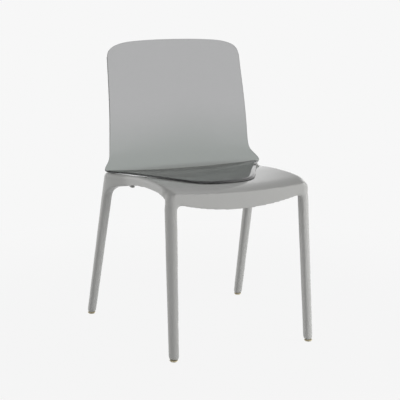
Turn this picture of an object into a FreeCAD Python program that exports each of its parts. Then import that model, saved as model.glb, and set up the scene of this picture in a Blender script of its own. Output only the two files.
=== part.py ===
import FreeCAD, Part
import math
import os

# Overall sizes in millimetres, with the sitter facing -Y and the floor at zero
total_height = 825.0
shell_thickness = 4.4
shell_lift = 0.9
pan_thickness = 4.5
rail_width = 24.0
rail_depth = 25.0
rail_drop_start_y = -30.0
rail_drop_slope = 0.165

# Seat outline in plan
seat_front_y = -245.0
seat_rear_y = 133.0
seat_half_front = 214.5
seat_half_waist = 211.0
seat_waist_y = -125.0
waist_rear_rise = 3.5
waist_rise_limit = 6.5
flare_start_y = 44.0
flare_end_y = 120.0
flare_slope = 0.40
plan_corner_radius = 15.0
rear_corner_radius = 5.0

# Front apron and rear rail
apron_wall = 8.0
apron_bottom_mid = 391.5
apron_bottom_end = 413.5
apron_corner_radius = 9.0
rear_rail_wall = 12.0
rear_rail_bottom = 424.0

# Legs: how far their centre stands in from the seat's corner at leg_ref_z, and their splay
leg_ref_z = 431.0
front_leg_inset = (14.3, 15.2)
front_leg_splay = (6.5, 30.9)
rear_leg_inset = (14.1, 1.0)
rear_leg_splay = (16.7, 124.6)
glide_height = 4.5
glide_diameter = 22.0
glide_stem_across = 8.0
glide_stem_length = 14.0

# Arches between the legs, seen from the side
arch_rear_radius = 42.0
arch_front_radius = 24.0

# Fixings of the back shell, and the small clearances round them
fixing_places = ((152.0, 62.0), (-152.0, 62.0), (70.0, -112.0), (-70.0, -112.0))
boss_diameter = 19.0
spigot_across = 12.0
spigot_length = 9.0
boss_floor = 3.0
screw_diameter = 4.8
screw_hole = 5.6
head_diameter = 9.4
head_height = 3.2
washer_diameter = 12.0
washer_height = 1.0
insert_across = 7.0
insert_length = 7.0
fit_clearance = 0.3

# Stacking pads under the side rails
pad_places = (26.0, -174.0)
pad_length = 16.0
pad_width = 9.0
pad_sunk = 2.0
pad_proud = 2.6

V = FreeCAD.Vector


# Helpers for smooth tables, curves and prisms
def table(rows, y):
    """Value at y of a smooth curve through (y, value) rows."""
    if y <= rows[0][0]:
        return rows[0][1]
    if y >= rows[-1][0]:
        return rows[-1][1]
    for i in range(len(rows) - 1):
        y0, a = rows[i]
        y1, b = rows[i + 1]
        if y <= y1:
            before = rows[max(i - 1, 0)]
            after = rows[min(i + 2, len(rows) - 1)]
            m0 = (b - before[1]) / (y1 - before[0])
            m1 = (after[1] - a) / (after[0] - y0)
            h = y1 - y0
            t = (y - y0) / h
            return ((2 * t**3 - 3 * t**2 + 1) * a + (t**3 - 2 * t**2 + t) * h * m0
                    + (3 * t**2 - 2 * t**3) * b + (t**3 - t**2) * h * m1)


def spline(points, tangents=None):
    """Smooth curve through points, with the two end directions where they are given."""
    curve = Part.BSplineCurve()
    if tangents:
        curve.interpolate(Points=points, InitialTangent=tangents[0], FinalTangent=tangents[1])
    else:
        curve.interpolate(points)
    return curve.toShape()


def prism(points, direction):
    """Straight-sided solid on a closed outline of points."""
    outline = Part.makePolygon(points + [points[0]])
    return Part.Face(outline).extrude(direction)


def post(x, y, z, across, height, sides):
    """Upright prism with flat sides; across is the distance between two opposite flats."""
    radius = across / 2.0 / math.cos(math.pi / sides)
    corners = [V(x + radius * math.cos(2.0 * math.pi * (k + 0.5) / sides),
                 y + radius * math.sin(2.0 * math.pi * (k + 0.5) / sides), z) for k in range(sides)]
    return prism(corners, V(0.0, 0.0, height))


# Seat surface: a shallow dish whose front edge falls away to a crease
pan_heights = ((-245.0, 438.5), (-236.0, 441.6), (-225.0, 444.7), (-211.0, 447.4), (-196.0, 449.2),
               (-171.0, 450.2), (-130.0, 450.2), (-85.0, 449.2), (-40.0, 447.8), (0.0, 446.6),
               (60.0, 445.4), (133.0, 445.4))
rim_rises = ((-245.0, 11.0), (-200.0, 12.0), (-125.0, 15.0), (-50.0, 15.5), (0.0, 13.5),
             (25.0, 11.6), (60.0, 9.8), (133.0, 9.2))
edge_rounds = ((-245.0, 22.0), (-225.0, 19.0), (-205.0, 15.0), (-185.0, 12.0), (133.0, 12.0))


def bend_from(y):
    """Zero before zero and y after it, with a short soft bend between."""
    return 6.0 * math.log(1.0 + math.exp(y / 6.0))


def seat_half_width(y):
    along = (y - seat_waist_y) / (seat_waist_y - seat_front_y)
    if along < 0.0:
        width = seat_half_waist + (seat_half_front - seat_half_waist) * along**2
    else:
        width = seat_half_waist + min(waist_rear_rise * along**2, waist_rise_limit)
    return width + flare_slope * (bend_from(y - flare_start_y) - bend_from(y - flare_end_y))


def dish(x, y):
    return table(pan_heights, y) + table(rim_rises, y) * (abs(x) / seat_half_width(y))**2.2


def seat_top(x, y):
    """Height of the seat surface, with its rounded side edge."""
    width = seat_half_width(y)
    height = dish(x, y)
    radius = table(edge_rounds, y)
    past = abs(x) - (width - radius)
    if past > 0.0:
        height -= radius - math.sqrt(max(radius**2 - past**2, 0.0))
    return height


# Places of the legs, as (x, y) at the floor and at leg_ref_z
front_top = (seat_half_front - front_leg_inset[0], seat_front_y + front_leg_inset[1])
front_foot = (front_top[0] + front_leg_splay[0], front_top[1] - front_leg_splay[1])
rear_top = (seat_half_width(seat_rear_y) - rear_leg_inset[0], seat_rear_y - rear_leg_inset[1])
rear_foot = (rear_top[0] + rear_leg_splay[0], rear_top[1] + rear_leg_splay[1])
rail_waist_cut = ((-245.0, 0.0), (-190.0, 1.6), (-130.0, 2.2), (-60.0, 0.4), (0.0, 0.0))


def rail_bottom(y):
    return dish(seat_half_width(y) * 0.94, y) - rail_depth + table(rail_waist_cut, y)


def rail_low(y):
    """Lower edge of the side rail, which deepens in a straight line towards the rear leg."""
    if y < rail_drop_start_y:
        return rail_bottom(y)
    return rail_bottom(rail_drop_start_y) - rail_drop_slope * (y - rail_drop_start_y)


across_steps = (0.0, 0.28, 0.54, 0.78)
edge_angles = (0.0, 40.0, 70.0, 90.0)


def seat_section(y):
    """Closed outline of the seat across x at one y."""
    width = seat_half_width(y)
    radius = table(edge_rounds, y)
    flat = width - radius
    half = [flat * step for step in across_steps + (1.0,)]
    right = [V(x, y, seat_top(x, y)) for x in half]
    left = [V(-p.x, y, p.z) for p in reversed(right[1:])]
    slope = (dish(flat, y) - dish(flat - 1.0, y))
    turn = [flat + radius * math.sin(math.radians(a)) for a in edge_angles]
    round_right = [V(x, y, seat_top(x, y)) for x in turn]
    round_left = [V(-p.x, y, p.z) for p in reversed(round_right)]
    middle = spline(left + right, (V(1.0, 0.0, -slope), V(1.0, 0.0, slope)))
    edge_right = spline(round_right, (V(1.0, 0.0, slope), V(0.0, 0.0, -1.0)))
    edge_left = spline(round_left, (V(0.0, 0.0, 1.0), V(1.0, 0.0, -slope)))
    low = rail_bottom(y)
    corners = [round_right[-1], V(width, y, low), V(-width, y, low), round_left[0]]
    lines = [Part.makeLine(a, b) for a, b in zip(corners[:-1], corners[1:])]
    return Part.Wire([edge_left, middle, edge_right] + lines)


def hollow_section(y):
    """Closed outline of the space under the seat pan."""
    width = seat_half_width(y) - rail_width
    half = [width * step for step in across_steps + (0.9, 1.0)]
    right = [V(x, y, dish(x, y) - pan_thickness) for x in half]
    left = [V(-p.x, y, p.z) for p in reversed(right[1:])]
    top = left + right
    lower = [V(width, y, 400.0), V(-width, y, 400.0)]
    return Part.Wire([spline(top), Part.makeLine(top[-1], lower[0]),
                      Part.makeLine(lower[0], lower[1]), Part.makeLine(lower[1], top[0])])


seat_stations = (-245.0, -236.0, -222.0, -202.0, -165.0, -100.0, -25.0, 28.0, 44.0, 60.0, 90.0,
                 118.0, 133.0)
hollow_stations = (-237.0, -205.0, -130.0, -50.0, 28.0, 48.0, 72.0, 121.0)
seat = Part.makeLoft([seat_section(y) for y in seat_stations], True, False)
hollow = Part.makeLoft([hollow_section(y) for y in hollow_stations], True, False)


def corner_waste(y_end, radius, side, turn):
    """What a plan round takes off one corner of the seat; turn is 1 at the rear, -1 in front."""
    width = seat_half_width(y_end)
    start = V(side * width, y_end - turn * radius, 380.0)
    middle = V(side * (width - radius * 0.293), y_end - turn * radius * 0.293, 380.0)
    stop = V(side * (width - radius), y_end, 380.0)
    far = V(side * (width + 9.0), y_end + turn * 9.0, 380.0)
    before = V(side * (width + 9.0), y_end - turn * radius, 380.0)
    after = V(side * (width - radius), y_end + turn * 9.0, 380.0)
    edges = [Part.Arc(start, middle, stop).toShape(), Part.makeLine(stop, after),
             Part.makeLine(after, far), Part.makeLine(far, before), Part.makeLine(before, start)]
    return Part.Face(Part.Wire(edges)).extrude(V(0.0, 0.0, 120.0))


for side in (1, -1):
    seat = seat.cut(corner_waste(seat_front_y, plan_corner_radius, side, -1))
    seat = seat.cut(corner_waste(seat_rear_y, rear_corner_radius, side, 1))


# Legs: rounded squares carried from the foot up into the seat corner
def rounded_square(cx, cy, z, hx, hy, radii, side):
    """Outline with radii for the corners inner-front, outer-front, outer-rear, inner-rear."""
    corners = ((-hx, -hy, radii[0]), (hx, -hy, radii[1]), (hx, hy, radii[2]), (-hx, hy, radii[3]))
    turns = ((1, 1), (-1, 1), (-1, -1), (1, -1))
    ends = []
    for (x, y, r), (sx, sy) in zip(corners, turns):
        along_x = (x + sx * r, y)
        along_y = (x, y + sy * r)
        k = r * (1.0 - math.sqrt(0.5))
        middle = (x + sx * k, y + sy * k)
        pair = (along_y, middle, along_x) if sx * sy > 0 else (along_x, middle, along_y)
        ends.append([V(side * (cx + p[0]), cy + p[1], z) for p in pair])
    edges = []
    for i in range(4):
        start, middle, stop = ends[i]
        edges.append(Part.Arc(start, middle, stop).toShape())
        edges.append(Part.makeLine(stop, ends[(i + 1) % 4][0]))
    return Part.Wire(edges)


def leg(foot, top, half_foot, half_top, radii_foot, radii_top, crown, side):
    """Tapered leg; crown rows give height and how far the outline draws in."""
    sections = []
    rows = [(glide_height, 3.4), (glide_height + 2.6, 0.9),
            (glide_height + 8.0, 0.0)] + list(crown)
    for z, inset in rows:
        t = z / leg_ref_z
        cx = foot[0] + (top[0] - foot[0]) * t
        cy = foot[1] + (top[1] - foot[1]) * t
        hx = half_foot[0] + (half_top[0] - half_foot[0]) * t - inset
        hy = half_foot[1] + (half_top[1] - half_foot[1]) * t - inset
        radii = [max(a + (b - a) * t - inset * 0.6, 1.5) for a, b in zip(radii_foot, radii_top)]
        sections.append(rounded_square(cx, cy, z, hx, hy, radii, side))
    return Part.makeLoft(sections, True, True)


front_half_foot = (12.5, 13.0)
front_half_top = (14.6, 15.6)
rear_half_foot = (12.0, 12.5)
rear_half_top = (13.8, 15.2)
legs = []
for side in (1, -1):
    legs.append(leg(front_foot, front_top, front_half_foot, front_half_top, (5.0, 14.0, 8.0, 8.0),
                    (4.5, 19.0, 8.0, 9.0), [(leg_ref_z - 20.0, 0.0), (leg_ref_z, 1.6),
                                            (leg_ref_z + 6.0, 5.0)], side))
    legs.append(leg(rear_foot, rear_top, rear_half_foot, rear_half_top, (8.0, 8.0, 8.0, 8.0),
                    (9.0, 9.0, 9.0, 9.0), [(leg_ref_z - 12.0, 0.0), (leg_ref_z + 14.0, 0.6),
                                            (leg_ref_z + 20.0, 3.0)], side))


# Side webs under the rails, cut by an arch with a wide rear and a tight front radius
def leg_face_y(foot, top, half_foot, half_top, z, sign):
    t = z / leg_ref_z
    centre = foot[1] + (top[1] - foot[1]) * t
    return centre + sign * (half_foot[1] + (half_top[1] - half_foot[1]) * t)


web_low = leg_ref_z - 59.0
web_high = leg_ref_z + 9.0
inside_leg = 6.5


def rounded_corner(before, corner, after, radius, steps):
    """Points of the arc that rounds a corner between two straight lines, given as (y, z)."""
    a = (before[0] - corner[0], before[1] - corner[1])
    b = (after[0] - corner[0], after[1] - corner[1])
    a_long = math.hypot(*a)
    b_long = math.hypot(*b)
    a = (a[0] / a_long, a[1] / a_long)
    b = (b[0] / b_long, b[1] / b_long)
    half = math.acos(a[0] * b[0] + a[1] * b[1]) / 2.0
    middle = (a[0] + b[0], a[1] + b[1])
    reach = radius / math.sin(half) / math.hypot(*middle)
    centre = (corner[0] + middle[0] * reach, corner[1] + middle[1] * reach)
    start = (corner[0] + a[0] * radius / math.tan(half), corner[1] + a[1] * radius / math.tan(half))
    stop = (corner[0] + b[0] * radius / math.tan(half), corner[1] + b[1] * radius / math.tan(half))
    first = math.atan2(start[1] - centre[1], start[0] - centre[0])
    last = math.atan2(stop[1] - centre[1], stop[0] - centre[0])
    turn = (last - first + math.pi) % (2.0 * math.pi) - math.pi
    return [(centre[0] + radius * math.cos(first + turn * i / (steps - 1.0)),
             centre[1] + radius * math.sin(first + turn * i / (steps - 1.0))) for i in range(steps)]


def side_arch():
    """Prism across x that removes what lies below the side rails."""
    def front_y(z):
        return leg_face_y(front_foot, front_top, front_half_foot, front_half_top, z, 1) - inside_leg

    def rear_y(z):
        return leg_face_y(rear_foot, rear_top, rear_half_foot, rear_half_top, z, -1) + inside_leg

    low = web_low - 8.0
    roof = rail_bottom(-185.0) + 0.6
    points = [(front_y(low), low)]
    points += rounded_corner((front_y(low), low), (front_y(roof), roof), (-100.0, roof),
                             arch_front_radius, 7)
    middle = (rail_drop_start_y, rail_low(rail_drop_start_y) + 0.6)
    points += [(-120.0, rail_bottom(-120.0) + 0.6), middle]
    corner_y = rear_y(rail_low(seat_rear_y - 15.0))
    corner = (corner_y, rail_low(corner_y))
    points += rounded_corner(middle, corner, (rear_y(low), low), arch_rear_radius, 7)
    points.append((rear_y(low), low))
    return prism([V(-320.0, y, z) for y, z in points], V(640.0, 0.0, 0.0))


def web_section(y, side, top):
    outer = min(seat_half_width(y), rear_top[0] + rear_half_top[0]) - 0.8
    inner = outer - rail_width + 3.0 - 4.0 * min(max(y - 60.0, 0.0) / 40.0, 1.0)
    points = [V(side * inner, y, web_low), V(side * outer, y, web_low), V(side * outer, y, top),
              V(side * inner, y, top)]
    return Part.makePolygon(points + [points[0]])


def past_leg(foot, top, half_foot, half_top, sign, far_y):
    """Prism of what lies beyond a plane just inside the leg's face, on the far side of it."""
    low = web_low - 10.0
    high = web_high + 30.0
    reach = inside_leg - 0.5
    near = [leg_face_y(foot, top, half_foot, half_top, z, sign) - sign * reach for z in (low, high)]
    return prism([V(-300.0, near[0], low), V(-300.0, near[1], high), V(-300.0, far_y, high),
                  V(-300.0, far_y, low)], V(600.0, 0.0, 0.0))


arch = side_arch()
webs = []
for side in (1, -1):
    front_web = Part.makeLoft([web_section(y, side, rail_bottom(y) + 8.0) for y in
                               (-236.0, -215.0, -195.0, -175.0)], True, False)
    rear_web = Part.makeLoft([web_section(y, side, rail_bottom(y) + 8.0) for y in
                              (-30.0, 34.0, 60.0, 100.0, 118.0, 144.0)],
                             True, False)
    webs.append(front_web.cut([arch, past_leg(front_foot, front_top, front_half_foot,
                                              front_half_top, 1, -300.0)]))
    webs.append(rear_web.cut([arch, past_leg(rear_foot, rear_top, rear_half_foot,
                                             rear_half_top, -1, 300.0)]))


# Front apron: a crescent with small rounds where it meets the legs
def crescent(y_front, wall, bottom_mid, bottom_end, end_x, corner, top_z, reach):
    """Plate across x whose lower edge is an arc."""
    drop = bottom_end - bottom_mid
    radius = (end_x**2 + drop**2) / (2.0 * drop)
    points = []
    for i in range(-6, 7):
        x = end_x * i / 6.0
        points.append(V(x, y_front, bottom_mid + radius - math.sqrt(radius**2 - x**2)))
    lower = spline(points)
    start, stop = points[0], points[-1]
    dip = corner * 0.8
    left_fill = Part.Arc(V(-reach, y_front, start.z - corner), V(-reach + corner * 0.45, y_front,
                         start.z - corner * 0.28), start).toShape()
    right_fill = Part.Arc(stop, V(reach - corner * 0.45, y_front, stop.z - corner * 0.28),
                          V(reach, y_front, stop.z - corner)).toShape()
    outer = reach + dip
    corners = [V(reach, y_front, stop.z - corner), V(outer, y_front, stop.z - corner),
               V(outer, y_front, top_z), V(-outer, y_front, top_z),
               V(-outer, y_front, stop.z - corner), V(-reach, y_front, stop.z - corner)]
    lines = [Part.makeLine(a, b) for a, b in zip(corners[:-1], corners[1:])]
    outline = Part.Wire([left_fill, lower, right_fill] + lines)
    return Part.Face(outline).extrude(V(0.0, wall, 0.0))


apron = crescent(seat_front_y, apron_wall, apron_bottom_mid, apron_bottom_end,
                 front_top[0] - 28.2, apron_corner_radius, leg_ref_z - 1.0, front_top[0] - 13.7)
rear_rail = Part.makeBox(2.0 * rear_top[0] - 19.6, rear_rail_wall - 1.0, 20.0,
                         V(-rear_top[0] + 9.8, seat_rear_y - rear_rail_wall + 0.5,
                           rear_rail_bottom))

# Ribs and screw bosses under the pan
rib_thickness = 3.0
rib_low = leg_ref_z + 5.0
rib_height = 12.0
rib_apart = (fixing_places[0][0] + fixing_places[2][0]) / 2.0 + 1.0
rib_cross = (fixing_places[2][1] + 52.0, fixing_places[0][1] - 40.0)
ribs = []
for x in (-rib_apart, rib_apart):
    ribs.append(Part.makeBox(rib_thickness, seat_rear_y - seat_front_y - 18.0, rib_height,
                             V(x - rib_thickness / 2.0, seat_front_y + 7.0, rib_low)))
for y in rib_cross:
    ribs.append(Part.makeBox(2.0 * seat_half_width(y) - 30.0, rib_thickness, rib_height,
                             V(-seat_half_width(y) + 15.0, y, rib_low)))
under_pan = hollow.copy()
rib_set = ribs[0].multiFuse(ribs[1:]).common(under_pan)

bosses = []
pockets = []
for x, y in fixing_places:
    floor_z = seat_top(x, y) + shell_lift - spigot_length
    low = floor_z - boss_floor
    bosses.append(Part.makeCylinder(boss_diameter / 2.0, seat_top(x, y) - 2.0 - low, V(x, y, low)))
    pocket = post(x, y, floor_z, spigot_across + 2.0 * fit_clearance, 30.0, 8)
    hole = Part.makeCylinder(screw_hole / 2.0, 30.0, V(x, y, low - 5.0))
    pockets.append(pocket.fuse(hole))

# The seat frame as one moulding
frame_solid = seat.cut(hollow)
frame_solid = frame_solid.multiFuse([apron, rear_rail, rib_set] + bosses + webs + legs)
frame_solid = frame_solid.cut(pockets[0].multiFuse(pockets[1:]))


# Glides, each with a domed foot and a stem in the end of its leg
def foot_place(foot, top, side):
    t = glide_height / leg_ref_z
    return side * (foot[0] + (top[0] - foot[0]) * t), foot[1] + (top[1] - foot[1]) * t


def glide(cx, cy):
    r = glide_diameter / 2.0
    corners = [V(r - 2.6, 0.0, 0.0), V(r, 0.0, 2.8), V(r, 0.0, glide_height),
               V(0.0, 0.0, glide_height), V(0.0, 0.0, 0.0), V(r - 2.6, 0.0, 0.0)]
    body = Part.Face(Part.makePolygon(corners)).revolve(V(0, 0, 0), V(0, 0, 1), 360.0)
    stem = post(0.0, 0.0, glide_height - 1.0, glide_stem_across, glide_stem_length + 1.0, 6)
    body = body.fuse(stem)
    body.translate(V(cx, cy, 0.0))
    return body


glides = {}
for name, foot, top in (("front", front_foot, front_top), ("rear", rear_foot, rear_top)):
    for hand, side in (("right", 1), ("left", -1)):
        cx, cy = foot_place(foot, top, side)
        glides["glide_%s_%s" % (name, hand)] = glide(cx, cy)
        stem_hole = post(cx, cy, glide_height - 1.0, glide_stem_across + 2.0 * fit_clearance,
                         glide_stem_length + 2.0, 6)
        frame_solid = frame_solid.cut(stem_hole)

# Stacking pads in pockets of the side rails
pads = {}
for number, y in enumerate(pad_places):
    for hand, side in (("right", 1), ("left", -1)):
        cx = side * (seat_half_width(y) - rail_width / 2.0)
        low = min(rail_low(y - pad_length / 2.0), rail_low(y + pad_length / 2.0))
        pocket = Part.makeBox(pad_width + 2.0 * fit_clearance, pad_length + 2.0 * fit_clearance,
                              20.0 + pad_sunk, V(cx - pad_width / 2.0 - fit_clearance,
                                                 y - pad_length / 2.0 - fit_clearance, low - 20.0))
        frame_solid = frame_solid.cut(pocket)
        pad = Part.makeBox(pad_width, pad_length, pad_sunk + pad_proud,
                           V(cx - pad_width / 2.0, y - pad_length / 2.0, low - pad_proud))
        lower_edges = [e for e in pad.Edges if e.CenterOfMass.z < low - pad_proud + 0.01]
        pads["stack_pad_%d_%s" % (number + 1, hand)] = pad.makeChamfer(1.2, lower_edges)


# Back shell: rows across the chair, from the bend behind the tongue to above the top edge
# Each row has its place along the shell, centre y, centre z, half width, edge y and edge z
shell_rows = ((0.0, 82.0, 458.5, 249.5, 119.5, 460.5), (0.09, 112.0, 478.0, 240.5, 128.5, 475.5),
              (0.18, 131.0, 503.0, 230.0, 139.0, 489.0), (0.27, 145.0, 535.0, 225.0, 146.5, 513.0),
              (0.37, 156.5, 574.0, 222.8, 149.5, 550.0), (0.50, 167.5, 626.0, 220.0, 155.0, 606.0),
              (0.64, 178.5, 683.0, 217.2, 165.5, 669.0), (0.80, 191.5, 751.0, 214.0, 181.0, 743.0),
              (1.0, 207.0, 838.0, 211.8, 200.0, 834.0))
shell_row_count = 11
tongue_rows = (-190.0, -148.0, -106.0, -66.0, -26.0, 14.0, 50.0)
row_steps = (-1.0, -0.88, -0.68, -0.36, 0.0, 0.36, 0.68, 0.88, 1.0)


def tongue_outline():
    """Half outline of the tongue in plan, from the middle of its front to the rear corner."""
    return [(0.0, -171.0), (38.0, -168.5), (68.0, -160.0), (92.0, -142.0), (110.0, -116.0),
            (128.0, -86.0), (150.0, -45.0), (178.0, 6.0), (205.0, 55.0), (228.0, 92.0)]


def shell_point(place, step):
    columns = [[(row[0], row[k]) for row in shell_rows] for k in range(1, 6)]
    yc, zc, half, ye, ze = [table(column, place) for column in columns]
    bend = abs(step)**2.2
    return V(half * step, yc + (ye - yc) * bend, zc + (ze - zc) * bend)


def tongue_point(y, step):
    """Point of the tongue, which follows the seat and begins to lift towards the bend."""
    rise = max(y + 50.0, 0.0) / 100.0
    half = 204.0 + 34.0 * rise**2
    y_here = y + 42.0 * rise**2 * abs(step)**2
    x = min(half, seat_half_width(y_here) - 6.0) * step
    return V(x, y_here, dish(x, y_here) + shell_lift + shell_thickness / 2.0
             + 3.0 * rise**3 * (1.0 - abs(step)**3))


grid = [[tongue_point(y, s) for s in row_steps] for y in tongue_rows]
grid += [[shell_point(i / (shell_row_count - 1.0), s) for s in row_steps]
         for i in range(shell_row_count)]
surface = Part.BSplineSurface()
surface.interpolate(grid)
sheet = surface.toShape()
shell_solid = sheet.makeOffsetShape(shell_thickness / 2.0, 0.01, fill=False)
shell_lower = sheet.makeOffsetShape(-shell_thickness / 2.0, 0.01, fill=False)


def closed_between(a, b):
    """Solid between two faces of the same form, with ruled walls along their four edges."""
    face_a = a.Faces[0]
    face_b = b.Faces[0]
    walls = []
    for e in face_a.Edges:
        mate = min(face_b.Edges, key=lambda m: (m.CenterOfMass - e.CenterOfMass).Length)
        walls.append(Part.makeRuledSurface(e, mate))
    skin = Part.makeShell([face_a, face_b] + walls)
    skin.sewShape()
    body = Part.Solid(skin)
    if body.Volume < 0:
        body.reverse()
    return body


shell_body = closed_between(shell_solid, shell_lower)

# Trim the tongue to its plan outline and the back to its front outline
half_outline = tongue_outline()
plan_points = [V(-x, y, 300.0) for x, y in reversed(half_outline[1:])]
plan_points += [V(x, y, 300.0) for x, y in half_outline]
plan_edge = spline(plan_points)
last = plan_points[-1]
first = plan_points[0]
plan_rest = [last, V(252.5, 122.0, 300.0), V(300.0, 122.5, 300.0), V(300.0, 320.0, 300.0),
             V(-300.0, 320.0, 300.0), V(-300.0, 122.5, 300.0), V(-252.5, 122.0, 300.0), first]
plan_lines = [Part.makeLine(a, b) for a, b in zip(plan_rest[:-1], plan_rest[1:])]
plan_trim = Part.Face(Part.Wire([plan_edge] + plan_lines)).extrude(V(0.0, 0.0, 700.0))

top_outline = ((0.0, 0.0), (60.0, 0.7), (118.0, 3.2), (147.0, 5.8), (167.0, 9.2), (186.0, 15.2),
               (196.0, 20.5), (204.0, 27.5), (210.0, 37.0), (213.5, 52.0), (216.0, 75.0))
top_points = [V(-x, -320.0, total_height - drop) for x, drop in reversed(top_outline[1:])]
top_points += [V(x, -320.0, total_height - drop) for x, drop in top_outline]
rest = [top_points[-1], V(300.0, -320.0, 600.0), V(300.0, -320.0, 300.0),
        V(-300.0, -320.0, 300.0), V(-300.0, -320.0, 600.0), top_points[0]]
rest_lines = [Part.makeLine(a, b) for a, b in zip(rest[:-1], rest[1:])]
front_trim = Part.Face(Part.Wire([spline(top_points)] + rest_lines)).extrude(V(0.0, 700.0, 0.0))
shell_body = shell_body.common(plan_trim).common(front_trim)

# Spigots under the tongue, with blind holes for the inserts, and the fixings themselves
fixings = {}
for number, (x, y) in enumerate(fixing_places):
    top_z = seat_top(x, y) + shell_lift + 0.75 * shell_thickness
    floor_z = seat_top(x, y) + shell_lift - spigot_length
    shell_body = shell_body.fuse(post(x, y, floor_z, spigot_across, top_z - floor_z, 8))
    shell_body = shell_body.cut(post(x, y, floor_z, insert_across + fit_clearance,
                                     insert_length, 8))
    bore = post(x, y, floor_z, screw_diameter + 0.2, insert_length, 12)
    insert = post(x, y, floor_z, insert_across, insert_length, 8)
    fixings["insert_%d" % (number + 1)] = insert.cut(bore)
    seat_face = floor_z - boss_floor
    ring_hole = post(x, y, seat_face - washer_height, screw_hole, washer_height, 12)
    ring = post(x, y, seat_face - washer_height, washer_diameter, washer_height, 16)
    fixings["washer_%d" % (number + 1)] = ring.cut(ring_hole)
    head_z = seat_face - washer_height - head_height
    r_head = head_diameter / 2.0
    r_shank = screw_diameter / 2.0
    length = floor_z + insert_length - 1.0 - head_z
    profile = Part.makePolygon([V(0, 0, 0), V(r_head - 1.2, 0, 0), V(r_head, 0, 1.4),
                                V(r_head, 0, head_height), V(r_shank, 0, head_height),
                                V(r_shank, 0, length), V(0, 0, length), V(0, 0, 0)])
    screw = Part.Face(profile).revolve(V(0, 0, 0), V(0, 0, 1), 360.0)
    screw.translate(V(x, y, head_z))
    socket = Part.makePolygon([V(x + 2.3 * math.cos(math.radians(60.0 * k)),
                                 y + 2.3 * math.sin(math.radians(60.0 * k)), head_z)
                               for k in range(7)])
    socket = Part.Face(socket).extrude(V(0.0, 0.0, 2.0))
    fixings["screw_%d" % (number + 1)] = screw.cut(socket)

# Export, one file for each piece
os.makedirs("parts", exist_ok=True)
pieces = {"seat_frame": frame_solid, "back_shell": shell_body}
pieces.update(glides)
pieces.update(pads)
pieces.update(fixings)

# The frame origin is the middle of the whole part on the floor
low_y = min(solid.optimalBoundingBox().YMin for solid in pieces.values())
high_y = max(solid.optimalBoundingBox().YMax for solid in pieces.values())
for name, solid in pieces.items():
    solid.translate(V(0.0, -(low_y + high_y) / 2.0, 0.0))
    solid.exportStep("parts/%s.step" % name)
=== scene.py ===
import math

import bmesh
import bpy
import numpy as np
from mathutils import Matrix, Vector


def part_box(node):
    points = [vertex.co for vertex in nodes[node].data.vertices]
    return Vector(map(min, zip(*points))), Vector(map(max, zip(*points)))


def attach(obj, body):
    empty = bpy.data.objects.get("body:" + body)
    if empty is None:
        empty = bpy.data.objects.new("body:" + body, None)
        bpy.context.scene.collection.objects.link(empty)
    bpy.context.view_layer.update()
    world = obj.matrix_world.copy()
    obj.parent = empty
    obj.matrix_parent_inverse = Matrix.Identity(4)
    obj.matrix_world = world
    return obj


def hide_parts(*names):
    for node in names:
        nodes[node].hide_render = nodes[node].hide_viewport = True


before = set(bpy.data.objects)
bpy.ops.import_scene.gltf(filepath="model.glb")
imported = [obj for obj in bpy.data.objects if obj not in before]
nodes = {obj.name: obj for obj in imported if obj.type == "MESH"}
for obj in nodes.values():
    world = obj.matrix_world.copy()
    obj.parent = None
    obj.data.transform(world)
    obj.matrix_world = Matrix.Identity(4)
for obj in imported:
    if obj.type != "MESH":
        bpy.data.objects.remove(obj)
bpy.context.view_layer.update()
MM = 0.001

# The drawing's y zero lies a few millimetres from the frame's: the front glide shows how far
glide_low, glide_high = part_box("glide_front_right")
shift_y = (glide_low.y + glide_high.y) / 2.0 / MM + 260.377


# ---------------------------------------------------------------- helpers
def curve_at(rows, y):
    """Smooth curve through (place, value) rows: cubic Hermite pieces whose end slopes are the
    slopes between the neighbouring rows. y is a numpy array."""
    rows = np.asarray(rows, float)
    px, py = rows[:, 0], rows[:, 1]
    y = np.clip(np.asarray(y, float), px[0], px[-1])
    slope = np.empty(len(px))
    slope[1:-1] = (py[2:] - py[:-2]) / (px[2:] - px[:-2])
    slope[0] = (py[1] - py[0]) / (px[1] - px[0])
    slope[-1] = (py[-1] - py[-2]) / (px[-1] - px[-2])
    i = np.clip(np.searchsorted(px, y, side="right") - 1, 0, len(px) - 2)
    h = px[i + 1] - px[i]
    t = (y - px[i]) / h
    return ((2 * t**3 - 3 * t**2 + 1) * py[i] + (t**3 - 2 * t**2 + t) * h * slope[i]
            + (3 * t**2 - 2 * t**3) * py[i + 1] + (t**3 - t**2) * h * slope[i + 1])


def new_piece(name, points, faces, smooth=True):
    """Mesh object from points in millimetres of the drawing and a list of faces."""
    points = np.array(points, float).reshape(-1, 3)
    points[:, 1] += shift_y
    mesh = bpy.data.meshes.new(name)
    mesh.from_pydata((points * MM).tolist(), [], [list(f) for f in faces])
    mesh.update()
    mesh.polygons.foreach_set("use_smooth", np.full(len(mesh.polygons), smooth))
    piece = bpy.data.objects.new(name, mesh)
    bpy.context.scene.collection.objects.link(piece)
    return piece


def grid_faces(rows, columns):
    """Quads of a grid of rows by columns."""
    i, j = np.meshgrid(np.arange(rows - 1), np.arange(columns - 1), indexing="ij")
    first = i * columns + j
    return np.stack([first, first + 1, first + columns + 1, first + columns], -1).reshape(-1, 4)


def finish_piece(piece, slot, material, *replaced):
    """Gives a new piece its material and body, and hides the nodes that it stands for. The slot is
    not used.
    """
    piece.data.materials.clear()
    piece.data.materials.append(material)
    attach(piece, "root")
    if replaced:
        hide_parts(*replaced)


# ---------------------------------------------------------------- materials
def srgb(code):
    """Linear colour of an sRGB hex value."""
    values = [int(code[i:i + 2], 16) / 255.0 for i in (1, 3, 5)]
    linear = [v / 12.92 if v <= 0.04045 else ((v + 0.055) / 1.055)**2.4 for v in values]
    return tuple(linear) + (1.0,)


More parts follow.
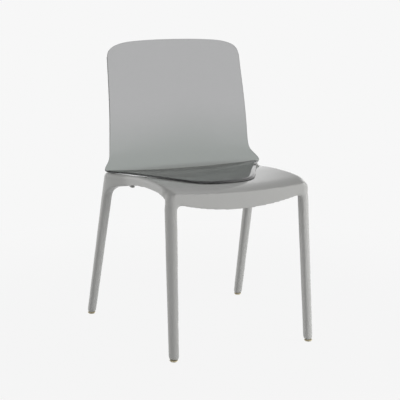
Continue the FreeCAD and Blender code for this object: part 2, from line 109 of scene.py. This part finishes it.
def add_node(tree, kind, settings=None, links=None):
    """Adds a node, sets its properties and sockets, and links its inputs."""
    node = tree.nodes.new(kind)
    for key, value in (settings or {}).items():
        if isinstance(key, int) or key in node.inputs.keys():
            node.inputs[key].default_value = value
        else:
            setattr(node, key, value)
    for key, source in (links or {}).items():
        tree.links.new(source, node.inputs[key])
    return node


def new_material(name):
    """Material with its node tree and its Principled shader."""
    material = bpy.data.materials.new(name)
    material.use_nodes = True
    tree = material.node_tree
    shader = tree.nodes["Principled BSDF"]
    return material, tree, shader


# Polished polypropylene, injection moulded and through-coloured light grey: a clear soft gloss
# over a plain body colour whose tone drifts very slightly
moulded_grey, tree, shader = new_material("moulded_polypropylene_grey")
shader.inputs["Roughness"].default_value = 0.08
shader.inputs["IOR"].default_value = 1.49
place = add_node(tree, "ShaderNodeTexCoord")
flow = add_node(tree, "ShaderNodeTexNoise", {"Scale": 9.0, "Detail": 2.0, "Roughness": 0.45},
                {"Vector": place.outputs["Object"]})
tone = add_node(tree, "ShaderNodeMix", {"data_type": "RGBA", "A": srgb("#a6a6a4"),
                                        "B": srgb("#aaaaa8")}, {"Factor": flow.outputs["Fac"]})
tree.links.new(tone.outputs["Result"], shader.inputs["Base Color"])

# Smoked polycarbonate, injection moulded and polished: clear grey, mirror gloss. Painted shade
# in the colour: darker and cooler towards the bend and the tongue, where the plastic is seen at
# a low angle, and lighter towards the top
smoked_clear, tree, shader = new_material("smoked_polycarbonate")
shader.inputs["Roughness"].default_value = 0.03
shader.inputs["IOR"].default_value = 1.58
shader.inputs["Transmission Weight"].default_value = 1.0
place = add_node(tree, "ShaderNodeTexCoord")
parts = add_node(tree, "ShaderNodeSeparateXYZ", None, {"Vector": place.outputs["Object"]})
drift = add_node(tree, "ShaderNodeTexNoise", {"Scale": 3.0, "Detail": 1.0},
                 {"Vector": place.outputs["Object"]})
# Painted shade: the colour lightens with height, the edge of the change swayed by the noise
sway = add_node(tree, "ShaderNodeMath", {"operation": "MULTIPLY_ADD", 1: 0.10},
                {0: drift.outputs["Fac"], 2: parts.outputs["Z"]})
painted_height_shade = add_node(tree, "ShaderNodeMapRange", {"interpolation_type": "SMOOTHSTEP",
                                              "From Min": 0.495, "From Max": 0.70,
                                              "To Min": 0.0, "To Max": 1.0},
                 {"Value": sway.outputs[0]})
upper = add_node(tree, "ShaderNodeMix",
                 {"data_type": "RGBA", "A": srgb("#bbc0bd"), "B": srgb("#d1d1d2")},
                 {"Factor": painted_height_shade.outputs["Result"]})
# Painted shade: a darker, cooler colour towards the bend and the tongue
reach = add_node(tree, "ShaderNodeMath", {"operation": "MULTIPLY_ADD", 1: 2.0},
                 {0: parts.outputs["Z"], 2: parts.outputs["Y"]})
bend = add_node(tree, "ShaderNodeMapRange", {"interpolation_type": "SMOOTHSTEP",
                                             "From Min": 0.985, "From Max": 1.055,
                                             "To Min": 0.0, "To Max": 1.0},
                {"Value": reach.outputs[0]})
# Shell colour: painted shade of the bend and of the height, with a slight random drift
tint_and_painted_shade = add_node(tree, "ShaderNodeMix", {"data_type": "RGBA", "A": srgb("#a1a3a0")},
                {"Factor": bend.outputs["Result"], "B": upper.outputs["Result"]})
tree.links.new(tint_and_painted_shade.outputs["Result"], shader.inputs["Base Color"])
smoke = add_node(tree, "ShaderNodeVolumeAbsorption", {"Color": srgb("#8b8d8c"), "Density": 95.0})
tree.links.new(smoke.outputs["Volume"], tree.nodes["Material Output"].inputs["Volume"])

# Nylon foot, moulded in a natural beige, worn matt where it meets the floor
beige_nylon, tree, shader = new_material("moulded_nylon_beige")
shader.inputs["Base Color"].default_value = srgb("#beb496")
shader.inputs["Roughness"].default_value = 0.45
shader.inputs["IOR"].default_value = 1.53

# Soft thermoplastic rubber pads, matt grey
pad_rubber, tree, shader = new_material("moulded_rubber_grey")
shader.inputs["Base Color"].default_value = srgb("#a3a4a2")
shader.inputs["Roughness"].default_value = 0.7
shader.inputs["IOR"].default_value = 1.52

# Zinc-plated steel screws and washers: pale, slightly clouded metal
zinc_steel, tree, shader = new_material("zinc_plated_steel")
shader.inputs["Base Color"].default_value = srgb("#b9bcbe")
shader.inputs["Metallic"].default_value = 1.0
shader.inputs["Roughness"].default_value = 0.32

# Turned brass inserts
turned_brass, tree, shader = new_material("turned_brass")
shader.inputs["Base Color"].default_value = srgb("#c9a35a")
shader.inputs["Metallic"].default_value = 1.0
shader.inputs["Roughness"].default_value = 0.28


# ---------------------------------------------------------------- the seat's surface
SEAT_HALF_FRONT, SEAT_HALF_WAIST, WAIST_Y = 214.5, 211.0, -125.0
SEAT_FRONT_Y = -245.0
WAIST_LENGTH, WAIST_RISE_LIMIT = 120.0, 6.5
FLARE_START, FLARE_END, FLARE_SLOPE, FLARE_SOFTNESS = 44.0, 120.0, 0.40, 6.0
SWEEP_POWER = 2.2
SHELL_THICKNESS, SHELL_LIFT = 4.4, 0.9
pan_heights = ((-245.0, 438.5), (-236.0, 441.6), (-225.0, 444.7), (-211.0, 447.4), (-196.0, 449.2),
               (-171.0, 450.2), (-130.0, 450.2), (-85.0, 449.2), (-40.0, 447.8), (0.0, 446.6),
               (60.0, 445.4), (133.0, 445.4))
rim_rises = ((-245.0, 11.0), (-200.0, 12.0), (-125.0, 15.0), (-50.0, 15.5), (0.0, 13.5),
             (25.0, 11.6), (60.0, 9.8), (133.0, 9.2))
edge_rounds = ((-245.0, 22.0), (-225.0, 19.0), (-205.0, 15.0), (-185.0, 12.0), (133.0, 12.0))


def seat_half_width(y):
    """Half width of the seat: a shallow waist, then a straight flare between two soft bends."""
    rise = (SEAT_HALF_FRONT - SEAT_HALF_WAIST) * ((y - WAIST_Y) / WAIST_LENGTH)**2
    width = np.minimum(SEAT_HALF_WAIST + rise, SEAT_HALF_WAIST + WAIST_RISE_LIMIT)
    bends = (np.logaddexp(0.0, (y - FLARE_START) / FLARE_SOFTNESS)
             - np.logaddexp(0.0, (y - FLARE_END) / FLARE_SOFTNESS))
    return width + FLARE_SLOPE * FLARE_SOFTNESS * bends


def dish(x, y):
    """Seat height: a table along y plus a rim that rises with a power of x."""
    sweep = (np.abs(x) / seat_half_width(y))**SWEEP_POWER
    return curve_at(pan_heights, y) + curve_at(rim_rises, y) * sweep


# ---------------------------------------------------------------- seat frame
FRONT_CORNER = 15.0
# In the side view (y, z): a point of the rail's lower edge, its corner with the rear leg, and a
# point of the leg's front edge, with the radius of the arc that rounds the corner
RAIL_LINE = ((0.0, 430.6), (131.0, 409.0))
LEG_LINE = (145.0, 366.0)
ARCH_RADIUS = 86.0
# The fillet's two faces lie this far in from the seat's side, and lean out with the leg below
FILLET_INSETS, LEAN_TOP, LEAN = (26.6, 1.5), 418.0, 0.0387
FIXINGS = ((152.0, 62.0), (-152.0, 62.0), (70.0, -112.0), (-70.0, -112.0))
PLUG_SIDES, PLUG_RADIUS, PLUG_DEPTH = 8, 7.4, 9.5
MERGE_DISTANCE, VOXEL_SIZE = 0.00002, 0.003
EVEN_ROUNDS, CORNER_ROUNDS, LAY_ROUNDS, LAY_REACH = 7, 16, 4, 2.6


def slab_side(p):
    """How far a point stands out of the seat's top and rounded side: a quarter circle whose
    radius changes along y joins the dish to the upright side."""
    x, y, z = p.T
    radius = curve_at(edge_rounds, y)
    over = np.maximum(np.abs(x) - (seat_half_width(y) - radius), 0.0)
    above = np.maximum(z - (dish(x, y) - radius), 0.0)
    return np.hypot(over, above) - radius


def slab_front(p):
    """How far a point stands out of the flat front face, with its upright corner rounds."""
    x, y, _ = p.T
    flank = seat_half_width(np.full(1, SEAT_FRONT_Y)) - FRONT_CORNER
    aside = np.maximum(np.abs(x) - flank, 0.0)
    ahead = np.maximum(SEAT_FRONT_Y + FRONT_CORNER - y, 0.0)
    return np.hypot(aside, ahead) - FRONT_CORNER


def onto(points, form, share):
    """Moves points along the slope of form towards its zero by share, worked out as arrays."""
    step = 0.05
    value = form(points)
    slope = np.stack([(form(points + step * axis) - value) / step for axis in np.eye(3)], -1)
    size = np.maximum((slope**2).sum(-1), 0.2)
    return points - (share * value / size)[:, None] * slope


def between_lines(rail, corner, leg, radius):
    """Points (y, z) of the arc of a radius that rounds the corner between two lines."""
    rail, corner, leg = (np.array(k, float) for k in (rail, corner, leg))
    a = (rail - corner) / np.linalg.norm(rail - corner)
    b = (leg - corner) / np.linalg.norm(leg - corner)
    half = math.acos(float(a @ b)) / 2.0
    centre = corner + (a + b) / np.linalg.norm(a + b) * radius / math.sin(half)
    start = corner + a * radius / math.tan(half) - centre
    stop = corner + b * radius / math.tan(half) - centre
    first, last = math.atan2(start[1], start[0]), math.atan2(stop[1], stop[0])
    turn = first + ((last - first + math.pi) % (2.0 * math.pi) - math.pi) * np.linspace(0, 1, 16)
    return centre + radius * np.stack([np.cos(turn), np.sin(turn)], -1)


def prism_faces(n):
    """Walls and two ends of a prism: n points of one end, then the same of the other."""
    k = np.arange(n)
    walls = np.stack([k, (k + 1) % n, (k + 1) % n + n, k + n], -1).tolist()
    return walls + [k[::-1].tolist(), (k + n).tolist()]


def gusset(side):
    """Fillet between a side rail and its rear leg: the arc and three points inside the moulding,
    carried across x between two faces that follow the seat's flare and the leg's splay."""
    arc = between_lines(RAIL_LINE[0], RAIL_LINE[1], LEG_LINE, ARCH_RADIUS)
    ring = np.concatenate([arc, arc[-1:] + (5.0, 6.0), [(139.0, 424.0)], arc[:1] + (0.0, 8.0)])
    outer = seat_half_width(ring[:, 0]) + LEAN * np.maximum(LEAN_TOP - ring[:, 1], 0.0)
    points = np.concatenate([np.column_stack([side * (outer - inset), ring])
                             for inset in FILLET_INSETS])
    return points, [face[::side] for face in prism_faces(len(ring))]


def plug(x, y):
    """Many-sided plug that closes a fixing pocket flush with the seat."""
    n = PLUG_SIDES
    turn = 2.0 * np.pi * (np.arange(n) + 0.5) / n
    ring = np.column_stack([x + PLUG_RADIUS * np.cos(turn), y + PLUG_RADIUS * np.sin(turn)])
    top = dish(ring[:, 0], ring[:, 1])
    points = np.concatenate([np.column_stack([ring, top - PLUG_DEPTH]),
                             np.column_stack([ring, top])])
    return points, prism_faces(n)


# The CAD frame's mesh is copied and merged, closed with the plugs and rounded with the fillets,
# and given even facets
source = nodes["seat_frame"].data.copy()
rough = bpy.data.objects.new("rough_frame", source)
bpy.context.scene.collection.objects.link(rough)
adder = bmesh.new()
adder.from_mesh(source)
for number, (points, faces) in enumerate([gusset(1), gusset(-1)] + [plug(*f) for f in FIXINGS]):
    extra = new_piece("filler_%d" % number, points, faces, False)
    adder.from_mesh(extra.data)
    bpy.data.objects.remove(extra)
adder.to_mesh(source)
adder.free()
weld = rough.modifiers.new("merge", "WELD")
weld.merge_threshold = MERGE_DISTANCE
cut = rough.modifiers.new("even", "REMESH")
cut.mode = "VOXEL"
cut.voxel_size = VOXEL_SIZE
solid = bpy.data.meshes.new_from_object(
    rough.evaluated_get(bpy.context.evaluated_depsgraph_get()))
bpy.data.objects.remove(rough)
count = len(solid.vertices)
skin = np.empty(count * 3)
solid.vertices.foreach_get("co", skin)
skin = skin.reshape(-1, 3) / MM
skin[:, 1] -= shift_y
ends = np.empty(len(solid.edges) * 2, int)
solid.edges.foreach_get("vertices", ends)
ends = ends.reshape(-1, 2)
neighbours = np.bincount(ends.ravel(), minlength=count)[:, None]


def smoothed(points, share):
    """Each point moved by share towards the mean of its neighbours."""
    total = np.stack([np.bincount(ends[:, 0], points[ends[:, 1], k], count)
                      + np.bincount(ends[:, 1], points[ends[:, 0], k], count)
                      for k in range(3)], -1)
    return points + share[:, None] * (total / neighbours - points)


def ramp(value, low, high):
    """Zero below low, one above high, smooth between."""
    t = np.clip((value - low) / (high - low), 0.0, 1.0)
    return t * t * (3.0 - 2.0 * t)


# Even out the whole skin, then round the front corners further
for _ in range(EVEN_ROUNDS):
    skin = smoothed(skin, np.full(count, 0.5))
x, y, z = skin.T
corner = ramp(np.abs(x), 186.0, 200.0) * ramp(-y, 205.0, 222.0) * ramp(z, 404.0, 420.0)
for _ in range(CORNER_ROUNDS):
    skin = smoothed(skin, 0.6 * corner)
# Lay the skin on the exact seat top and front face, which leaves the crease between them sharp
free = 1.0 - corner
for _ in range(LAY_ROUNDS):
    x, y, z = skin.T
    upper = np.where(y > 40.0, ramp(z, 436.0, 444.0), ramp(z, 428.0, 436.0))
    near_top = (np.abs(slab_side(skin)) < LAY_REACH) * upper * (y < 126.0) * free
    face_low = np.where(np.abs(x) < 172.0, 380.0, 424.0)
    near_front = ((np.abs(slab_front(skin)) < LAY_REACH) * ramp(z, face_low, face_low + 10.0)
                  * (y < -200.0) * free)
    skin = onto(skin, slab_side, near_top)
    skin = onto(skin, slab_front, near_front)
skin[:, 1] += shift_y
solid.vertices.foreach_set("co", (skin * MM).ravel())
solid.update()
solid.polygons.foreach_set("use_smooth", np.ones(len(solid.polygons), bool))
seat_frame = bpy.data.objects.new("seat_frame_skin", solid)
bpy.context.scene.collection.objects.link(seat_frame)
finish_piece(seat_frame, "frame_plastic", moulded_grey, "seat_frame")


# ---------------------------------------------------------------- back shell
# Each row: place along the shell, centre y, centre z, half width, edge y, edge z
shell_rows = ((0.0, 82.0, 458.5, 249.5, 119.5, 460.5), (0.09, 112.0, 478.0, 240.5, 128.5, 475.5),
              (0.18, 131.0, 503.0, 230.0, 139.0, 489.0), (0.27, 145.0, 535.0, 225.0, 146.5, 513.0),
              (0.37, 156.5, 574.0, 222.8, 149.5, 550.0), (0.50, 167.5, 626.0, 220.0, 155.0, 606.0),
              (0.64, 178.5, 683.0, 217.2, 165.5, 669.0), (0.80, 191.5, 751.0, 214.0, 181.0, 743.0),
              (1.0, 207.0, 838.0, 211.8, 200.0, 834.0))
# Plan of the tongue: its front edge (x, y), then its half width (y, x)
tongue_front = ((0.0, -171.0), (38.0, -168.5), (68.0, -160.0), (92.0, -142.0), (110.0, -116.0))
tongue_half = ((-116.0, 110.0), (-86.0, 128.0), (-45.0, 150.0), (6.0, 178.0), (55.0, 205.0),
               (92.0, 228.0))
# The top edge: how far it lies below its middle, by x
TOP_HEIGHT = 824.7
top_outline = ((0.0, 0.0), (60.0, 0.7), (118.0, 3.2), (147.0, 5.8), (167.0, 9.2), (186.0, 15.2),
               (196.0, 20.5), (204.0, 27.5), (210.0, 37.0), (213.5, 52.0), (216.0, 75.0))
ALONG, ACROSS = 176, 97
FINE_ROWS, FINE_COLUMNS, TABLE_ROWS, TABLE_COLUMNS = 900, 181, 1400, 600
RIM_TAPER, RIM_THINNED, RIM_LOWERED, LEVELS = 16.0, 0.75, 0.37, 20


def shell_point(place, step):
    """Point of the backrest: a centre line and an edge line by place, joined across the chair
    by a power of the step from the middle (0) to the side (1)."""
    yc, zc, half, ye, ze = [curve_at([(row[0], row[k]) for row in shell_rows], place)
                            for k in range(1, 6)]
    bend = np.abs(step)**SWEEP_POWER
    return np.stack([half * step, yc + (ye - yc) * bend, zc + (ze - zc) * bend], -1)


def tongue_point(y, step):
    """Point of the tongue: on the seat's dish, lifting a little towards the bend."""
    rise = np.maximum(y + 50.0, 0.0) / 100.0
    half = 204.0 + 34.0 * rise**2
    y_here = y + 42.0 * rise**2 * np.abs(step)**2
    x = np.minimum(half, seat_half_width(y_here) - 6.0) * step
    lift = SHELL_LIFT + SHELL_THICKNESS / 2.0
    z = dish(x, y_here) + lift + 3.0 * rise**3 * (1.0 - np.abs(step)**3)
    return np.stack([x, y_here, z], -1)


def natural_spline(knots, values, at):
    """Interpolating cubic spline through rows of values, second derivative zero at the ends."""
    n = len(knots)
    h = np.diff(knots)
    system = np.zeros((n, n))
    system[0, 0] = system[-1, -1] = 1.0
    flat = values.reshape(n, -1)
    right = np.zeros_like(flat)
    for i in range(1, n - 1):
        system[i, i - 1:i + 2] = h[i - 1], 2.0 * (h[i - 1] + h[i]), h[i]
        right[i] = 6.0 * ((flat[i + 1] - flat[i]) / h[i] - (flat[i] - flat[i - 1]) / h[i - 1])
    bend = np.linalg.solve(system, right)
    i = np.clip(np.searchsorted(knots, at, side="right") - 1, 0, n - 2)
    t = (at - knots[i])[:, None]
    hi = h[i][:, None]
    a, b = flat[i], flat[i + 1]
    ma, mb = bend[i], bend[i + 1]
    out = (a + t * ((b - a) / hi - hi * (2.0 * ma + mb) / 6.0) + t**2 * ma / 2.0
           + t**3 * (mb - ma) / (6.0 * hi))
    return out.reshape((len(at),) + values.shape[1:])


row_steps = np.array((-1.0, -0.88, -0.68, -0.36, 0.0, 0.36, 0.68, 0.88, 1.0))
tongue_rows = (-190.0, -148.0, -106.0, -66.0, -26.0, 14.0, 50.0)
places = np.linspace(0.0, 1.0, 11)
sheet = np.array([tongue_point(np.full(len(row_steps), y), row_steps) for y in tongue_rows]
                 + [shell_point(np.full(len(row_steps), p), row_steps) for p in places])
chord = np.linalg.norm(np.diff(sheet, axis=0), axis=2).mean(1)
row_place = np.concatenate([[0.0], np.cumsum(chord)])
across = np.linalg.norm(np.diff(sheet, axis=1), axis=2).mean(0)
column_place = np.concatenate([[0.0], np.cumsum(across)])


def sheet_at(u, v):
    """Middle surface of the shell at rows u and columns v: cubic splines along, then across,
    the rows of points."""
    columns = natural_spline(row_place, sheet, u)
    return np.array([natural_spline(column_place, column, v) for column in columns])


# Columns run from the tongue's front edge up the back to the top edge. In the surface's own two
# places (row, column) the side limit, the front start and the top end are read off a fine grid.
middle = column_place[-1] / 2.0
fine_row = np.linspace(row_place[0], row_place[-1], FINE_ROWS)
fine_column = np.linspace(middle, column_place[-1], FINE_COLUMNS)
fine = sheet_at(fine_row, fine_column)
outside = fine[..., 0] - curve_at(tongue_half, fine[..., 1])
outside[fine_row > row_place[len(tongue_rows) - 1]] = -1.0


def first_zero(values, at):
    """Place along the last axis where values first rise through zero, else the last place."""
    crossed = values > 0.0
    k = np.clip(np.argmax(crossed, -1), 1, values.shape[-1] - 1)
    low = np.take_along_axis(values, (k - 1)[..., None], -1)[..., 0]
    high = np.take_along_axis(values, k[..., None], -1)[..., 0]
    spot = at[k - 1] + (at[k] - at[k - 1]) * (-low) / np.where(high == low, 1.0, high - low)
    return np.where(crossed.any(-1), spot, at[-1])


side_limit = first_zero(outside, fine_column) - middle
corner_x, corner_y = tongue_front[-1]
corner_row = fine_row[np.argmax(fine[:, 0, 1] > corner_y)]
step_across = np.linspace(-1.0, 1.0, ACROSS)
corner_half = np.interp(corner_row, fine_row, side_limit)
start_y = curve_at(tongue_front, np.abs(step_across) * corner_x)
half_way = FINE_ROWS // 2
start_column = ((FINE_COLUMNS - 1) * np.abs(step_across) * corner_half / middle).astype(int)
start_row = np.array([np.interp(y, fine[:half_way, k, 1], fine_row[:half_way])
                      for y, k in zip(start_y, start_column)])
above = fine[..., 2] - (TOP_HEIGHT - curve_at(top_outline, fine[..., 0]))
end_row = first_zero(above[half_way:].T, fine_row[half_way:])
end_row = np.interp(np.abs(step_across) * middle, fine_column - middle, end_row)
side_limit = np.where(fine_row < corner_row, corner_half, side_limit)
along = np.linspace(0.0, 1.0, ALONG)[:, None]
row_at = start_row + (end_row - start_row) * along
column_at = middle + step_across * np.interp(row_at, fine_row, side_limit)


def sheet_points(row_at, column_at):
    """Points of the middle surface at any rows and columns, read bilinearly off a finer grid
    of the splines, so that the two sides mirror each other."""
    rows = np.linspace(row_place[0], row_place[-1], TABLE_ROWS)
    columns = np.linspace(0.0, column_place[-1], TABLE_COLUMNS)
    table = sheet_at(rows, columns)
    i = (row_at - rows[0]) / (rows[1] - rows[0])
    j = column_at / (columns[1] - columns[0])
    i0 = np.clip(i.astype(int), 0, TABLE_ROWS - 2)
    j0 = np.clip(j.astype(int), 0, TABLE_COLUMNS - 2)
    a, b = (i - i0)[..., None], (j - j0)[..., None]
    return ((1 - a) * (1 - b) * table[i0, j0] + a * (1 - b) * table[i0 + 1, j0]
            + (1 - a) * b * table[i0, j0 + 1] + a * b * table[i0 + 1, j0 + 1])


wall = sheet_points(row_at, column_at)
# The tongue thins towards its free rim: full wall 16 mm in from it, a quarter at the rim
rim_gap = np.minimum(np.linalg.norm(wall - wall[:1], axis=-1),
                     np.minimum(np.linalg.norm(wall - wall[:, :1], axis=-1),
                                np.linalg.norm(wall - wall[:, -1:], axis=-1)))
thin = (1.0 - ramp(rim_gap, 0.0, RIM_TAPER)) * ramp(-wall[..., 1], -95.0, -60.0)
wall[..., 2] -= RIM_LOWERED * SHELL_THICKNESS * thin
shell = new_piece("back_shell_moulding", wall, grid_faces(ALONG, ACROSS))
full = shell.vertex_groups.new(name="full_wall")
for level in range(LEVELS + 1):
    near = np.flatnonzero(np.rint((1.0 - RIM_THINNED * thin).ravel() * LEVELS) == level)
    if len(near):
        full.add(near.tolist(), level / LEVELS, "REPLACE")
thick = shell.modifiers.new("wall", "SOLIDIFY")
thick.vertex_group = "full_wall"
thick.thickness = SHELL_THICKNESS * MM
thick.offset = 0.0
thick.use_even_offset = True
edge = shell.modifiers.new("rounded_rim", "BEVEL")
edge.width = 1.7 * MM
edge.segments = 3
edge.limit_method = "ANGLE"
edge.angle_limit = math.radians(50.0)
finish_piece(shell, "smoked_clear", smoked_clear, "back_shell")

# ---------------------------------------------------------------- carried-over small parts
for name, part in nodes.items():
    finish = {"stack": pad_rubber, "glide": beige_nylon, "screw": zinc_steel,
              "washe": zinc_steel, "inser": turned_brass}.get(name[:5])
    if finish:
        for slot in part.material_slots:
            slot.material = finish

# ---------------------------------------------------------------- floor, light and camera
HORIZON, ZENITH, FRONT_SHARE = 1.21, 0.35, 0.43
STUDIO_WHITE = srgb("#f7f7f7")
FLOOR_HALF, BOX_SIZE, BOX_AIM = 30.0, 1.8, Vector((0.0, 0.0, 0.45))


def seen_background(tree, mirrored):
    """One for a camera ray and what it meets through clear plastic, and in a mirror image too
    where mirrored is set, but zero for the rays that carry light to a surface."""
    path = add_node(tree, "ShaderNodeLightPath")
    direct = add_node(tree, "ShaderNodeMath", {"operation": "LESS_THAN", 1: 0.5},
                      {0: path.outputs["Diffuse Depth"]})
    through = add_node(tree, "ShaderNodeMath", {"operation": "MULTIPLY"},
                       {0: path.outputs["Is Transmission Ray"], 1: direct.outputs[0]})
    both = add_node(tree, "ShaderNodeMath", {"operation": "MAXIMUM"},
                    {0: path.outputs["Is Camera Ray"], 1: through.outputs[0]})
    if not mirrored:
        return both.outputs[0]
    mirror = add_node(tree, "ShaderNodeMath", {"operation": "MULTIPLY"},
                      {0: path.outputs["Is Glossy Ray"], 1: direct.outputs[0]})
    every = add_node(tree, "ShaderNodeMath", {"operation": "MAXIMUM"},
                     {0: both.outputs[0], 1: mirror.outputs[0]})
    return every.outputs[0]


corners = ((-FLOOR_HALF, -FLOOR_HALF, 0.0), (FLOOR_HALF, -FLOOR_HALF, 0.0),
           (FLOOR_HALF, FLOOR_HALF, 0.0), (-FLOOR_HALF, FLOOR_HALF, 0.0))
floor_mesh = bpy.data.meshes.new("floor")
floor_mesh.from_pydata(corners, [], [(0, 1, 2, 3)])
floor = bpy.data.objects.new("floor", floor_mesh)
bpy.context.scene.collection.objects.link(floor)
# Near the chair a small share of the floor's own shading, and so of the shadow, is kept
floor_white, tree, shader = new_material("painted_studio_floor")
shader.inputs["Base Color"].default_value = srgb("#c8c8c8")
shader.inputs["Roughness"].default_value = 0.9
seen = seen_background(tree, True)
glow = add_node(tree, "ShaderNodeEmission", {"Color": STUDIO_WHITE, "Strength": 1.0})
spot = add_node(tree, "ShaderNodeTexCoord")
away = add_node(tree, "ShaderNodeVectorMath", {"operation": "LENGTH"}, {0: spot.outputs["Object"]})
clean = add_node(tree, "ShaderNodeMapRange", {"interpolation_type": "SMOOTHSTEP", "From Min": 0.5,
                                              "From Max": 1.5, "To Min": 0.965, "To Max": 1.0},
                 {"Value": away.outputs["Value"]})
share = add_node(tree, "ShaderNodeMath", {"operation": "MULTIPLY"},
                 {0: seen, 1: clean.outputs["Result"]})
mix = add_node(tree, "ShaderNodeMixShader", None,
               {0: share.outputs[0], 1: shader.outputs[0], 2: glow.outputs[0]})
tree.links.new(mix.outputs[0], tree.nodes["Material Output"].inputs["Surface"])
floor.data.materials.append(floor_white)

# Studio round the chair: pale at the horizon, darker overhead and on the side of the camera
world = bpy.data.worlds.new("studio")
bpy.context.scene.world = world
world.use_nodes = True
tree = world.node_tree
back = tree.nodes["Background"]
place = add_node(tree, "ShaderNodeTexCoord")
parts = add_node(tree, "ShaderNodeSeparateXYZ", None, {"Vector": place.outputs["Generated"]})
height = add_node(tree, "ShaderNodeMath", {"operation": "ABSOLUTE"}, {0: parts.outputs["Z"]})
high = add_node(tree, "ShaderNodeMapRange", {"interpolation_type": "SMOOTHSTEP", "From Min": 0.15,
                                             "From Max": 0.85, "To Min": HORIZON,
                                             "To Max": ZENITH}, {"Value": height.outputs[0]})
facing = add_node(tree, "ShaderNodeVectorMath", {"operation": "DOT_PRODUCT",
                                                 1: (0.16, 0.98, 0.0)},
                  {0: place.outputs["Generated"]})
front = add_node(tree, "ShaderNodeMapRange", {"interpolation_type": "SMOOTHSTEP", "From Min": -0.9,
                                              "From Max": 0.5, "To Min": FRONT_SHARE,
                                              "To Max": 1.0}, {"Value": facing.outputs["Value"]})
level = add_node(tree, "ShaderNodeMath", {"operation": "MULTIPLY"},
                 {0: high.outputs["Result"], 1: front.outputs["Result"]})
tree.links.new(level.outputs[0], back.inputs["Color"])
white = add_node(tree, "ShaderNodeBackground", {"Color": STUDIO_WHITE, "Strength": 1.0})
seen = seen_background(tree, False)
mix = add_node(tree, "ShaderNodeMixShader", None,
               {0: seen, 1: back.outputs[0], 2: white.outputs[0]})
tree.links.new(mix.outputs[0], tree.nodes["World Output"].inputs["Surface"])


def soft_box(name, place, power):
    """Square area lamp at place, in metres, that faces the chair and isn't mirrored in it."""
    data = bpy.data.lights.new(name, "AREA")
    data.shape = "RECTANGLE"
    data.size = data.size_y = BOX_SIZE
    data.energy = power
    lamp = bpy.data.objects.new(name, data)
    lamp.location = place
    lamp.rotation_euler = (BOX_AIM - Vector(place)).to_track_quat("-Z", "Y").to_euler()
    lamp.visible_glossy = False
    lamp.visible_transmission = False
    bpy.context.scene.collection.objects.link(lamp)


soft_box("box_right", (2.7, -1.8, 0.75), 98.0)
soft_box("box_left", (-1.9, 2.9, 1.1), 38.0)
soft_box("box_front", (0.0, -3.2, 1.0), 9.0)
soft_box("box_side", (-2.9, -1.2, 1.2), 10.0)

AZIMUTH, ELEVATION = math.radians(-25.4), math.radians(10.8)
AIM = Vector((-5.88 * MM, shift_y * MM, 374.75 * MM))
DISTANCE = 3191.9 * MM
behind = Vector((math.sin(AZIMUTH) * math.cos(ELEVATION), -math.cos(AZIMUTH) * math.cos(ELEVATION),
                 math.sin(ELEVATION)))
camera = bpy.data.objects.new("camera", bpy.data.cameras.new("camera"))
camera.data.lens = 100.0
camera.data.sensor_width = 36.0
camera.data.clip_end = 100.0
camera.location = AIM + behind * DISTANCE
camera.rotation_euler = (-behind).to_track_quat("-Z", "Y").to_euler()
bpy.context.scene.collection.objects.link(camera)
bpy.context.scene.camera = camera
bpy.context.scene.view_settings.view_transform = "Standard"

bpy.context.view_layer.update()
